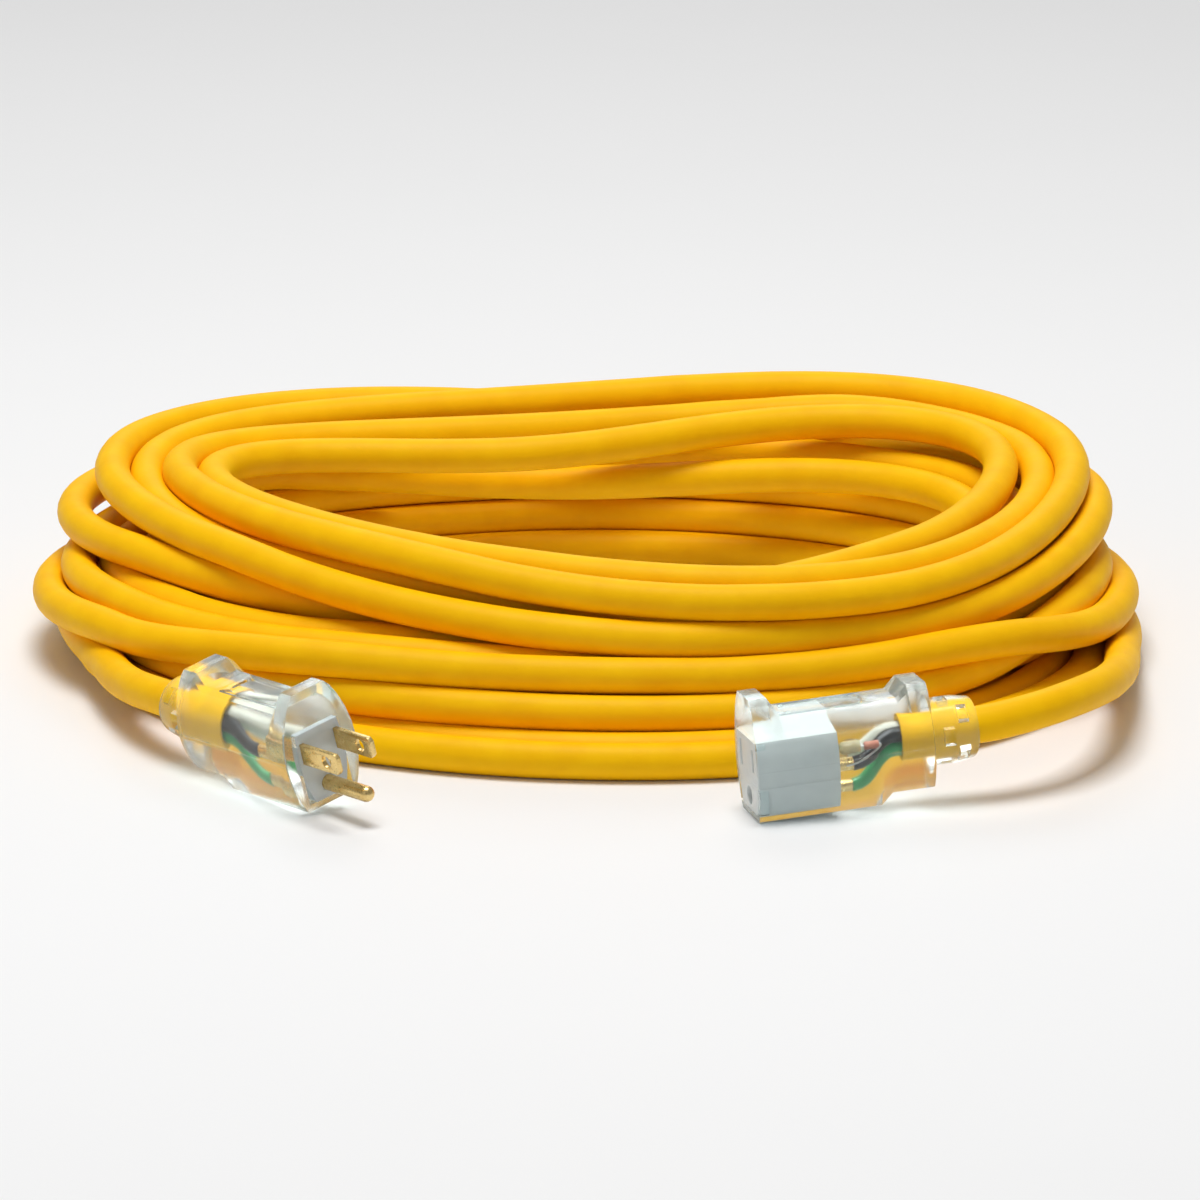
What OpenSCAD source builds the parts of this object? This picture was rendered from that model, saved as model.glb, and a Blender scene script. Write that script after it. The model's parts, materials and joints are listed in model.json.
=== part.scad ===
// Heavy-duty three-conductor extension cord, coiled, with a moulded plug and a
// lighted moulded connector. Millimetres, +Z up, standing on Z = 0.
// The origin is the centre of the footprint. Both ends are drawn in a frame of
// their own: +X out of the mating face, +Z up, X = 0 on the face, with Y = Z = 0
// midway between the two flat blades. place_end lays them down.

/* [Cord] */
// Outside diameter of the cord's jacket
cord_d = 11.2; // [9.3:0.1:13.5]
// Wall of the jacket
jacket_wall = 1.3; // [1:0.1:1.6]
// Clearance between the conductors and the inside of the jacket
core_gap = 0.1; // [0.05:0.05:0.3]
// Length of jacket inside the plug's body
plug_jacket_in = 17; // [15:0.5:20]
// Length of jacket inside the connector's body
connector_jacket_in = 8.5; // [8:0.5:11]
// Diameter of the bare copper in one conductor
copper_d = 2.2; // [1.6:0.1:2.6]

/* [Coil] */
// Radius of the coil's round ends, to its inside at the floor
coil_inner_r = 93; // [70:1:110]
// Thickness of the ring of turns at the floor
coil_wall = 59; // [45:1:70]
// Thickness of the ring of turns at its top
coil_top_wall = 40; // [25:1:45]
// Height of the ring of turns
coil_height = 60; // [40:1:72]
// Length of the straight stretch between the two round ends
coil_straight = 46; // [0:1:80]
// How far the coil's centre lies behind the origin
coil_back = 24; // [10:0.5:40]

/* [Moulded ends] */
// Length of the body, from its face to the back of its grip flange
body_len = 54; // [54:1:70]
// Width of the body where its sides bulge most
body_w = 26; // [25:0.5:34]
// Width of the body along its flat bottom
base_w = 18.4; // [16:0.2:20]
// Height of the face's rim above the blades' centreline
rim_top = 18.5; // [16.5:0.5:22]
// Height of the scooped top between rim and flange
waist_top = 13; // [12:0.5:14]
// Height of the top of the grip flange
flange_top = 16.5; // [15:0.5:20]
// Depth of the bottom below the blades' centreline
body_bottom = 18; // [17.5:0.5:22]
// Depth of the bottom under the grip flange
flange_bottom = 14.7; // [13.5:0.1:16]
// Length of the rim behind the face
rim_len = 5.5; // [4:0.5:8]
// Length of the grip flange along the top
flange_len = 6; // [4:0.5:10]
// Length of the shallow stretch of the bottom
shallow_len = 13; // [10:0.5:16]
// Length of the slopes between rim, waist and flange
ramp_len = 3.5; // [1:0.5:4]
// Width of the flat along the top, between its chamfers
top_flat_w = 12; // [10:0.5:14]
// Depth of the recessed label panel in the top
panel_depth = 0.8; // [0.4:0.1:1.2]
// Length of the label panel
panel_len = 26; // [15:1:30]
// Width of the label panel
panel_w = 9; // [6:0.5:10]

/* [Strain relief] */
// Diameter of the collar where it meets the body
collar_d = 20; // [18:0.5:24]
// Diameter of the collar at its end
collar_end_d = 18; // [17.4:0.2:18]
// Length of the collar outside the body
collar_len = 15; // [13:0.5:20]
// Length of the sleeve inside the body
sleeve_len = 7; // [6:0.5:8]
// Wall of the sleeve
sleeve_wall = 1.6; // [1:0.1:2]
// Length of one window along the collar
window_len = 3.2; // [2:0.1:4]
// Width of one window across the collar
window_w = 5; // [3:0.1:5]
// How far the cord's centre lies below the blades' centreline
cord_drop = 0.5; // [0:0.1:1.5]
// Clearance between moulded parts that touch
mould_gap = 0.05; // [0.02:0.01:0.1]

/* [Blades and ground pin] */
// Height of a flat blade
blade_w = 6.35; // [6.2:0.05:6.5]
// Thickness of a flat blade
blade_t = 1.5; // [1.4:0.05:1.6]
// How far a flat blade stands out of the face
blade_len = 17.5; // [16:0.1:18]
// Distance between the two blades' centrelines
blade_pitch = 12.7; // [10.6:0.1:15.3]
// Diameter of the hole near a blade's tip
blade_hole_d = 4; // [3:0.1:4.2]
// Distance of that hole from the face
blade_hole_x = 11.9; // [11:0.1:12.5]
// Chamfer at a blade's tip
blade_tip = 1.1; // [0.5:0.1:1.5]
// Diameter of the ground pin
ground_d = 4.8; // [4:0.05:5.8]
// Depth of the shoulder where the ground pin is necked behind the face
ground_shoulder = 0.2; // [0.1:0.05:0.4]
// How far the ground pin stands out of the face
ground_len = 20.6; // [19:0.1:21.5]
// How far the ground pin lies below the blades' centreline
ground_drop = 11.9; // [11.8:0.1:12]
// Length of a blade behind the face
blade_root = 13; // [12:0.5:14]
// Wall of the crimped barrels
crimp_wall = 0.6; // [0.4:0.1:0.8]
// Length of the crimped barrels
crimp_len = 5; // [4:0.5:6]

/* [Inserts] */
// Thickness of the plug's blade holder
holder_len = 4; // [3:0.5:10]
// Clear wall beside the blade holder
holder_wall = 4.5; // [4:0.1:4.8]
// Length of the connector's contact block
block_len = 25; // [23:0.5:26]
// Clear wall beside the connector's contact block
insert_wall = 2.2; // [1.6:0.1:2.4]
// Height of the inserts' top above the blades' centreline
insert_top = 6.2; // [5.8:0.1:8]
// Depth of the inserts' bottom below the blades' centreline
insert_bottom = 16.2; // [15.8:0.1:16.6]
// Depth of the split between the contact block's two halves
split_drop = 7.4; // [6.6:0.1:7.8]
// Clearance above and below the line blade in its slot
line_slot_gap = 0.325; // [0.225:0.05:0.525]
// Clearance above and below the neutral blade in its slot
neutral_slot_gap = 0.925; // [0.825:0.05:1.125]
// Clearance on each side of a blade in its slot
slot_side_gap = 0.25; // [0.15:0.05:0.35]
// Clearance round the ground pin in the ground hole
ground_hole_gap = 0.4; // [0.25:0.05:0.5]
// Thickness of the contact block's front wall
front_wall = 3; // [2:0.5:4]
// Thickness of one contact leaf
leaf_t = 0.7; // [0.5:0.1:0.9]
// Clearance between a blade and each contact leaf
contact_gap = 0.1; // [0.05:0.05:0.2]
// Length of the contacts behind the front wall
contact_len = 20; // [17:0.5:20]

/* [Lamp] */
// Diameter of the neon lamp's glass
lamp_d = 3.6; // [3:0.1:4]
// Length of the neon lamp's glass
lamp_len = 6.5; // [5:0.5:6.5]
// Diameter of the resistor's body
resistor_d = 2.2; // [1.8:0.1:2.6]
// Length of the resistor's body
resistor_len = 4.5; // [3.5:0.5:4.5]
// Diameter of the lamp's and resistor's wire leads
lead_d = 0.6; // [0.5:0.05:0.8]

/* [Hidden] */
$fn = 64;

// How the two ends lie on the floor, each at the start of its route: roll, pitch, yaw
plug_turn = [13, -2, -51];
connector_turn = [2, 4, 194.5];

// Route of the jacket from each collar to the coil
plug_route = [
    [-118.4, -109.8, 18.3], [-122.8, -104.4, 18.1], [-127, -98, 17.6],
    [-132, -90, 16.8], [-137, -80, 15.5], [-141, -69, 14],
    [-145, -57, 13], [-148, -45, 12.5], [-151, -33, 12]
];
connector_route = [
    [105.4, -145, 22.2], [112.2, -143.3, 22.7], [119, -141, 23.2],
    [127, -136.9, 24], [135.3, -130.4, 24.6], [143, -121.2, 24.6],
    [149.8, -109, 23.6], [155, -94.5, 21.6], [158.4, -78.6, 19],
    [161, -62, 16], [162.9, -45, 13], [164, -28, 10.8]
];
route_sides = 12;

// Jacket, conductors and fillers
jacket_bore_r = cord_d / 2 - jacket_wall;
// three equal conductors that touch each other and just fill the bore
conductor_d = 2 * (jacket_bore_r - core_gap) / (1 + 2 / sqrt(3));
filler_d = conductor_d * 0.4;                // string that fits outside between two of them
plug_jacket_front = body_len - plug_jacket_in;      // jacket's cut end, behind the face
connector_jacket_front = body_len - connector_jacket_in;
jacket_back = body_len + collar_len - 7;     // where the free cord takes over
core_back = jacket_back - 0.5;               // conductors and strings stop just inside it
lay_r = jacket_bore_r - conductor_d / 2 - 0.02;
filler_r = jacket_bore_r - filler_d / 2 - 0.1;
cord_z = -cord_drop;

// Rows inside the ends
crimp_r = copper_d / 2 + crimp_wall;
contact_bore_d = ground_d + 2 * contact_gap;  // ground pin's socket sleeve
ground_root_d = ground_d - 2 * ground_shoulder;
counterbore_depth = 0.5;                     // round the pin's shoulder, in the holder
barrel_floor = 0.8;                          // closed front of a barrel
barrel_gap = 0.3;                            // between a barrel and the insulation
waist_front = rim_len + ramp_len;
flange_front = body_len - flange_len;
shallow_front = body_len - shallow_len;
bulge_z = -2;                                // height of the sides' widest line
side_in = (body_w - base_w) / 2;
base_rise = body_bottom + bulge_z;
side_r = (base_rise * base_rise + side_in * side_in) / (2 * side_in);
pocket_gap = 0.2;                            // room round contacts and under the lamp
pocket_bottom = ground_drop + ground_d / 2 + pocket_gap;
pocket_wall = insert_wall + 0.5;
deep_pocket_back = shallow_front - ramp_len; // the bottom starts to rise here

// ---------- shared shapes ----------

// Lays an end down so that its jacket ends where the free cord's route starts
module place_end(start, turn) {
    translate(start) rotate(turn) translate([jacket_back, 0, -cord_z]) children();
}
module place_plug() { place_end(plug_route[0], plug_turn) children(); }
module place_connector() { place_end(connector_route[0], connector_turn) children(); }

// A straight round bar that starts at x and runs towards -X
module bar_back(x, y, z, length, d) {
    translate([x, y, z]) rotate([0, -90, 0]) cylinder(h = length, d = d);
}

// A box from x0 back to x1, centred on y, from z0 up to z1
module slab(x0, x1, y, w, z0, z1) {
    translate([-x1, y - w / 2, z0]) cube([x1 - x0, w, z1 - z0]);
}

// Swept tube: rings of points square to the path, carried along without twist
function unit(v) = v / norm(v);
function heading(p, i) =
    unit(i == 0 ? p[1] - p[0] : i == len(p) - 1 ? p[i] - p[i - 1] : p[i + 1] - p[i - 1]);
function square_to(t, v) = unit(v - t * (v * t));
function sides(p, i, v) =
    i == len(p) ? [] : let (s = square_to(heading(p, i), v)) concat([s], sides(p, i + 1, s));
function ring(c, t, s, r, n) =
    let (u = cross(t, s)) [for (k = [0:n - 1]) c + r * (cos(360 * k / n) * s + sin(360 * k / n) * u)];

module swept_tube(path, d, n) {
    first = abs(heading(path, 0)[2]) > 0.9 ? [1, 0, 0] : [0, 0, 1];
    side = sides(path, 0, first);
    points = [for (i = [0:len(path) - 1]) each ring(path[i], heading(path, i), side[i], d / 2, n)];
    last = (len(path) - 1) * n;
    faces = concat(
        [[for (k = [0:n - 1]) k]],
        [for (i = [0:len(path) - 2], k = [0:n - 1])
            [i * n + k, (i + 1) * n + k, (i + 1) * n + (k + 1) % n, i * n + (k + 1) % n]],
        [[for (k = [n - 1:-1:0]) last + k]]
    );
    polyhedron(points = points, faces = faces);
}

// Smooth bend from point a with heading ta to point b with heading tb
function bend(a, ta, b, tb, steps) = [for (i = [0:steps])
    let (t = i / steps, u = 1 - t)
    u * u * u * a + 3 * u * u * t * (a + ta) + 3 * u * t * t * (b - tb) + t * t * t * b];

// ---------- moulded bodies ----------

// The bulging sides seen from the face, set in by wall, between two heights
module sides_outline(wall, bottom, top) {
    centre_y = side_r - body_w / 2 + wall;
    intersection() {
        translate([centre_y, bulge_z]) circle(r = side_r);
        translate([-centre_y, bulge_z]) circle(r = side_r);
        translate([-body_w / 2, -bottom]) square([body_w, bottom + top]);
    }
}

// Outline of the body seen from its face, with its top edges chamfered
module face_outline(top) {
    edge_y = top_flat_w / 2;
    intersection() {
        sides_outline(0, body_bottom, top);
        polygon([
            [-edge_y, top], [edge_y, top], [edge_y + body_w, top - body_w],
            [edge_y + body_w, -body_bottom], [-edge_y - body_w, -body_bottom],
            [-edge_y - body_w, top - body_w]
        ]);
    }
}

// A prism of the sides' outline from x0 back to x1
module inner_stretch(x0, x1, wall, bottom, top) {
    translate([-x0, 0, 0]) rotate([90, 0, -90])
        linear_extrude(height = x1 - x0) sides_outline(wall, bottom, top);
}

// A stretch of the body from x0 back to x1 with its own top
module body_stretch(x0, x1, top) {
    translate([-x0, 0, 0]) rotate([90, 0, -90]) linear_extrude(height = x1 - x0) face_outline(top);
}

// Side view of the body: rim, scooped waist, grip flange and shallow heel
module side_outline() {
    polygon([
        [0, -body_bottom], [0, rim_top], [-rim_len, rim_top],
        [-waist_front, waist_top], [-flange_front + ramp_len, waist_top],
        [-flange_front, flange_top], [-body_len, flange_top],
        [-body_len, -flange_bottom], [-shallow_front, -flange_bottom],
        [-shallow_front + ramp_len, -body_bottom]
    ]);
}

module body_shape() {
    intersection() {
        union() {
            body_stretch(0, rim_len + ramp_len / 2, rim_top);
            body_stretch(rim_len, body_len - flange_len, waist_top);
            body_stretch(body_len - flange_len - ramp_len, body_len, flange_top);
        }
        rotate([90, 0, 0]) linear_extrude(height = body_w + 2, center = true) side_outline();
    }
}

// The clear body, hollow where its insert, wires and sleeve sit
module end_body(insert_len, wall, jacket_front) {
    difference() {
        body_shape();
        // label panel
        slab(waist_front + 2, waist_front + 2 + panel_len, 0, panel_w,
             waist_top - panel_depth, waist_top + 1);
        // seat of the insert
        inner_stretch(-1, insert_len, wall - mould_gap, insert_bottom + mould_gap,
                      insert_top + mould_gap);
        // room for the wires, deep as far as the shallow stretch
        inner_stretch(insert_len - 1, min(jacket_front + 1, deep_pocket_back), pocket_wall,
                      pocket_bottom, insert_top);
        inner_stretch(insert_len - 1, jacket_front + 1, pocket_wall,
                      flange_bottom - pocket_wall, insert_top);
        // seats of the jacket and of the sleeve
        bar_back(-jacket_front, 0, cord_z, body_len, cord_d + 2 * mould_gap);
        bar_back(-body_len + sleeve_len, 0, cord_z, body_len, cord_d + 2 * sleeve_wall + 2 * mould_gap);
    }
}

// Collar and sleeve that hold the jacket and let it flex
module strain_relief() {
    collar_end = body_len + collar_len;
    difference() {
        translate([-body_len + sleeve_len, 0, cord_z]) rotate([0, -90, 0]) rotate_extrude()
            polygon([
                [cord_d / 2 + mould_gap, 0], [cord_d / 2 + sleeve_wall, 0],
                [cord_d / 2 + sleeve_wall, sleeve_len], [collar_d / 2, sleeve_len],
                [collar_d / 2, sleeve_len + collar_len * 0.6],
                [collar_end_d / 2, sleeve_len + collar_len - 1.2],
                [collar_end_d / 2 - 1.2, sleeve_len + collar_len],
                [cord_d / 2 + 1, sleeve_len + collar_len],
                [cord_d / 2 + mould_gap, sleeve_len + collar_len - 2]
            ]);
        for (row = [0, 1], k = [0:3])
            translate([-collar_end + 3 + row * (window_len + 1.6), 0, cord_z])
                rotate([45 + 45 * row + 90 * k, 0, 0])
                    translate([0, -window_w / 2, cord_d / 2 + 1.2])
                        cube([window_len, window_w, collar_d]);
    }
}

module jacket_end(jacket_front) {
    translate([-jacket_front, 0, cord_z]) rotate([0, -90, 0])
        difference() {
            cylinder(h = jacket_back - jacket_front, d = cord_d);
            translate([0, 0, -1]) cylinder(h = jacket_back - jacket_front + 2, r = jacket_bore_r);
        }
}

module filler_strings(jacket_front) {
    for (a = [90, 210, 330])
        bar_back(-jacket_front - 1, filler_r * cos(a), cord_z + filler_r * sin(a),
                 core_back - jacket_front - 1, filler_d);
}

// Where a conductor that has come straight out of the jacket starts to bend
function jacket_place(a, jacket_front) = [-jacket_front + 2, lay_r * cos(a), cord_z + lay_r * sin(a)];

// One insulated conductor: straight in the jacket, then bent to its barrel
module wire(angle, crimp, jacket_front) {
    start = jacket_place(angle, jacket_front);
    stop = crimp - [0.5, 0, 0];
    reach = (stop[0] - start[0]) * 0.42;
    swept_tube(concat(
        [[-core_back, start[1], start[2]]],
        bend(start, [reach, 0, 0], stop, [reach, 0, 0], 8), [crimp]), conductor_d, 12);
}

// Bare end of a conductor, from its insulation to the bottom of its barrel
module strand_end(crimp) {
    bar_back(crimp[0] + crimp_len - barrel_floor, crimp[1], crimp[2], crimp_len - barrel_floor, copper_d);
}

// Crimped barrel round a bare conductor, open at its back
module barrel(crimp) {
    difference() {
        bar_back(crimp[0] + crimp_len, crimp[1], crimp[2], crimp_len - barrel_gap, 2 * crimp_r);
        bar_back(crimp[0] + crimp_len - barrel_floor, crimp[1], crimp[2], crimp_len, copper_d);
    }
}

// ---------- plug ----------

line_angle = 150;
neutral_angle = 30;
ground_angle = 270;
plug_crimp_x = -blade_root - crimp_len;
plug_line = [plug_crimp_x, -blade_pitch / 2 + 1, -2];
plug_neutral = [plug_crimp_x, blade_pitch / 2 - 1, -2];
plug_ground = [plug_crimp_x, 0, -ground_drop + 1.5];

module blade(side) {
    y = side * blade_pitch / 2;
    difference() {
        translate([0, y + blade_t / 2, 0]) rotate([90, 0, 0]) linear_extrude(height = blade_t)
            polygon([
                [-blade_root, -blade_w / 2], [blade_len - blade_tip, -blade_w / 2],
                [blade_len, -blade_w / 2 + blade_tip], [blade_len, blade_w / 2 - blade_tip],
                [blade_len - blade_tip, blade_w / 2], [-blade_root, blade_w / 2]
            ]);
        translate([blade_hole_x, y + blade_t, 0]) rotate([90, 0, 0])
            cylinder(h = 2 * blade_t, d = blade_hole_d);
    }
}

module plug_blade(side, crimp) {
    blade(side);
    // tongue that joins the blade to its barrel
    translate([-blade_root - 0.5, min(crimp[1], side * blade_pitch / 2) - 0.75, crimp[2] - 1])
        cube([1, abs(side * blade_pitch / 2 - crimp[1]) + 1.5, 2]);
    barrel(crimp);
}

module ground_pin() {
    tip = ground_d / 2;
    translate([0, 0, -ground_drop]) rotate([0, 90, 0]) {
        cylinder(h = ground_len - tip, d = ground_d);
        translate([0, 0, -blade_root]) cylinder(h = blade_root + 1, d = ground_root_d);
        translate([0, 0, ground_len - tip]) sphere(d = ground_d);
    }
    translate([-blade_root - 0.5, -1, -ground_drop]) cube([1, 2, 1.5]);
    barrel(plug_ground);
}

module blade_holder() {
    difference() {
        inner_stretch(0, holder_len, holder_wall, insert_bottom, insert_top);
        for (side = [-1, 1])
            slab(-1, holder_len + 1, side * blade_pitch / 2, blade_t + 2 * mould_gap,
                 -blade_w / 2 - mould_gap, blade_w / 2 + mould_gap);
        bar_back(1, 0, -ground_drop, holder_len + 2, ground_root_d + 2 * mould_gap);
        // room round the pin's shoulder at the face
        bar_back(1, 0, -ground_drop, 1 + counterbore_depth, ground_d + 2 * mould_gap);
    }
}

// ---------- connector ----------

blade_crimp_drop = 4.4;
connector_crimp_x = -front_wall - contact_len - crimp_len - 2;
socket_line = [connector_crimp_x, blade_pitch / 2 - 1, -blade_crimp_drop];
socket_neutral = [connector_crimp_x, -blade_pitch / 2 + 1, -blade_crimp_drop];
socket_ground = [connector_crimp_x, 0, -ground_drop + 1];
contact_room_t = blade_t + 2 * contact_gap + 2 * leaf_t + 2 * pocket_gap;
contact_w = blade_w;
slot_t = blade_t + 2 * slot_side_gap;
ground_hole_d = ground_d + 2 * ground_hole_gap;

module block_half(z0, z1) {
    difference() {
        inner_stretch(0, block_len, insert_wall, -z0, z1);
        for (side = [-1, 1]) {
            slot = blade_w + 2 * (side > 0 ? line_slot_gap : neutral_slot_gap);
            slab(-1, front_wall + 1, side * blade_pitch / 2, slot_t, -slot / 2, slot / 2);
            slab(front_wall, block_len + 1, side * blade_pitch / 2, contact_room_t,
                 -contact_w / 2 - pocket_gap, contact_w / 2 + pocket_gap);
            // way out for the contact's tongue
            slab(front_wall + contact_len - 1, block_len + 1, side * (blade_pitch / 2 - 0.5),
                 contact_room_t + 1, -blade_crimp_drop - 1, 0);
        }
        bar_back(1, 0, -ground_drop, front_wall + 2, ground_hole_d);
        bar_back(-front_wall, 0, -ground_drop, block_len,
                 contact_bore_d + 2 * leaf_t + 2 * pocket_gap);
    }
}

// Two spring leaves that grip a blade, a web at their back and a barrel
module blade_contact(side, crimp) {
    y = side * blade_pitch / 2;
    back = front_wall + contact_len;
    for (s = [-1, 1])
        slab(front_wall + 0.3, back, y + s * (blade_t / 2 + contact_gap + leaf_t / 2), leaf_t,
             -contact_w / 2, contact_w / 2);
    slab(back - leaf_t, back, y, blade_t + 2 * contact_gap + 2 * leaf_t, -contact_w / 2, contact_w / 2);
    tongue_bottom = crimp[2] - 0.8;
    tongue_top = max(crimp[2] + 0.8, 1 - contact_w / 2);
    translate([crimp[0] + crimp_len - 0.5, min(crimp[1], y) - 0.5, tongue_bottom])
        cube([-back - crimp[0] - crimp_len + 1, abs(y - crimp[1]) + 1, tongue_top - tongue_bottom]);
    barrel(crimp);
}

// Split spring sleeve for the ground pin
module ground_contact() {
    back = front_wall + contact_len;
    difference() {
        bar_back(-front_wall - 0.3, 0, -ground_drop, contact_len - 0.3, contact_bore_d + 2 * leaf_t);
        bar_back(-front_wall + 1, 0, -ground_drop, contact_len - leaf_t + 1, contact_bore_d);
        slab(front_wall - 1, back - 4, 0, 1, -ground_drop + 1, -ground_drop + contact_bore_d);
    }
    translate([socket_ground[0] + crimp_len - 0.5, -0.8, -ground_drop - 0.5])
        cube([-back - socket_ground[0] - crimp_len + 1, 1.6, 2]);
    barrel(socket_ground);
}

// ---------- neon lamp in the connector ----------

electrode_pitch = 1.3;
lamp_y = blade_pitch / 2 - 0.15;             // just inside the line blade's centreline
lamp_z = 0.2;
lamp_front = -block_len - 0.6;
lamp_back = lamp_front - lamp_len;
resistor_y = lamp_y + electrode_pitch / 2;
resistor_front = lamp_back - 1.2;
resistor_back = resistor_front - resistor_len;
glass_wall = 0.4;
lead_end = 0.02;
stub = [-0.5, 0, 0];

module lamp_glass() {
    translate([lamp_front, lamp_y, lamp_z]) rotate([0, -90, 0]) difference() {
        union() {
            translate([0, 0, lamp_d / 2]) cylinder(h = lamp_len - lamp_d / 2, d = lamp_d);
            translate([0, 0, lamp_d / 2]) sphere(d = lamp_d);
        }
        translate([0, 0, lamp_d / 2]) cylinder(h = lamp_len - lamp_d / 2 - 1, d = lamp_d - 2 * glass_wall);
    }
}

module lamp_electrodes() {
    for (s = [-1, 1])
        bar_back(lamp_front - lamp_d / 2 - 0.2, lamp_y + s * electrode_pitch / 2, lamp_z,
                 lamp_len - lamp_d / 2 - 1.2 - lead_end, lead_d + 0.2);
}

module lamp_resistor() {
    bar_back(resistor_front, resistor_y, lamp_z, resistor_len, resistor_d);
}

// Leads: lamp to resistor, lamp to the neutral barrel, resistor to the line barrel
module lamp_wires() {
    glass_exit = [lamp_back - lead_end, lamp_y - electrode_pitch / 2, lamp_z];
    resistor_exit = [resistor_back - lead_end, resistor_y, lamp_z];
    on_neutral = [socket_neutral[0] + crimp_len / 2, socket_neutral[1],
                  socket_neutral[2] + crimp_r + lead_d / 2 + lead_end];
    on_line = [socket_line[0] + crimp_len / 2, socket_line[1] + crimp_r + lead_d / 2 + lead_end,
               socket_line[2]];
    bar_back(lamp_back - lead_end, resistor_y, lamp_z, lamp_back - resistor_front - 2 * lead_end, lead_d);
    swept_tube(concat([glass_exit], bend(glass_exit + stub, [-0.2, -1.8, 1.5], on_neutral, [3, -1, -2], 10)),
               lead_d, 8);
    swept_tube(concat([resistor_exit], bend(resistor_exit + stub, [-1, 1.5, 0], on_line, [5, -0.5, 0], 10)),
               lead_d, 8);
}

// ---------- cord ----------

// Cross-section of the ring of turns: steep inside, leaning outside, soft edges
module coil_profile() {
    edge = cord_d / 2;
    outer = coil_inner_r + coil_wall;
    top_outer = coil_inner_r + coil_top_wall;
    polygon([
        [coil_inner_r + edge, 0], [outer - edge, 0], [outer, edge],
        [outer, cord_d * 1.5], [top_outer, coil_height - edge],
        [top_outer - edge, coil_height], [coil_inner_r + edge, coil_height],
        [coil_inner_r, coil_height - edge], [coil_inner_r, edge]
    ]);
}

module cord_coil() {
    color("gold") translate([0, coil_back, 0]) {
        for (side = [0, 1])
            rotate([0, 0, 180 * side]) translate([coil_straight / 2, 0, 0])
                rotate([0, 0, -90]) rotate_extrude(angle = 180) coil_profile();
        for (side = [0, 1])
            rotate([0, 0, 180 * side]) translate([-coil_straight / 2, 0, 0])
                rotate([90, 0, 90]) linear_extrude(height = coil_straight) coil_profile();
    }
}

module cord_plug_lead() { color("gold") swept_tube(plug_route, cord_d, route_sides); }
module cord_connector_lead() { color("gold") swept_tube(connector_route, cord_d, route_sides); }

// ---------- nodes of the plug ----------

module plug_housing() {
    color("aliceblue", 0.4)
        place_plug() end_body(holder_len, holder_wall, plug_jacket_front);
}
module plug_strain_relief() { color("aliceblue", 0.5) place_plug() strain_relief(); }
module plug_blade_holder() { color("white") place_plug() blade_holder(); }
module plug_line_blade() { color("goldenrod") place_plug() plug_blade(-1, plug_line); }
module plug_neutral_blade() { color("goldenrod") place_plug() plug_blade(1, plug_neutral); }
module plug_ground_pin() { color("goldenrod") place_plug() ground_pin(); }
module plug_line_wire() {
    color("black") place_plug() wire(line_angle, plug_line, plug_jacket_front);
}
module plug_neutral_wire() {
    color("white") place_plug() wire(neutral_angle, plug_neutral, plug_jacket_front);
}
module plug_ground_wire() {
    color("green") place_plug() wire(ground_angle, plug_ground, plug_jacket_front);
}
module plug_copper_strands() {
    color("peru") place_plug()
        for (crimp = [plug_line, plug_neutral, plug_ground]) strand_end(crimp);
}
module plug_jacket_end() { color("gold") place_plug() jacket_end(plug_jacket_front); }
module plug_filler_strings() { color("tan") place_plug() filler_strings(plug_jacket_front); }

// ---------- nodes of the connector ----------

module connector_housing() {
    color("aliceblue", 0.4)
        place_connector() end_body(block_len, insert_wall, connector_jacket_front);
}
module connector_strain_relief() { color("aliceblue", 0.5) place_connector() strain_relief(); }
module connector_block_upper() { color("white") place_connector() block_half(-split_drop, insert_top); }
module connector_block_lower() { color("white") place_connector() block_half(-insert_bottom, -split_drop); }
module connector_line_contact() { color("goldenrod") place_connector() blade_contact(1, socket_line); }
module connector_neutral_contact() { color("goldenrod") place_connector() blade_contact(-1, socket_neutral); }
module connector_ground_contact() { color("goldenrod") place_connector() ground_contact(); }
module connector_line_wire() {
    color("black") place_connector() wire(neutral_angle, socket_line, connector_jacket_front);
}
module connector_neutral_wire() {
    color("white") place_connector() wire(line_angle, socket_neutral, connector_jacket_front);
}
module connector_ground_wire() {
    color("green") place_connector() wire(ground_angle, socket_ground, connector_jacket_front);
}
module connector_copper_strands() {
    color("peru") place_connector()
        for (crimp = [socket_line, socket_neutral, socket_ground]) strand_end(crimp);
}
module connector_jacket_end() { color("gold") place_connector() jacket_end(connector_jacket_front); }
module connector_filler_strings() {
    color("tan") place_connector() filler_strings(connector_jacket_front);
}
module connector_lamp_glass() { color("lightyellow", 0.6) place_connector() lamp_glass(); }
module connector_lamp_electrodes() { color("silver") place_connector() lamp_electrodes(); }
module connector_lamp_resistor() { color("salmon") place_connector() lamp_resistor(); }
module connector_lamp_wires() { color("silver") place_connector() lamp_wires(); }

cord_coil();
cord_plug_lead();
cord_connector_lead();
plug_housing();
plug_strain_relief();
plug_blade_holder();
plug_line_blade();
plug_neutral_blade();
plug_ground_pin();
plug_line_wire();
plug_neutral_wire();
plug_ground_wire();
plug_copper_strands();
plug_jacket_end();
plug_filler_strings();
connector_housing();
connector_strain_relief();
connector_block_upper();
connector_block_lower();
connector_line_contact();
connector_neutral_contact();
connector_ground_contact();
connector_line_wire();
connector_neutral_wire();
connector_ground_wire();
connector_copper_strands();
connector_jacket_end();
connector_filler_strings();
connector_lamp_glass();
connector_lamp_electrodes();
connector_lamp_resistor();
connector_lamp_wires();
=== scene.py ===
import json
import math

import bmesh
import bpy
import numpy as np
from mathutils import Matrix, Vector


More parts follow.
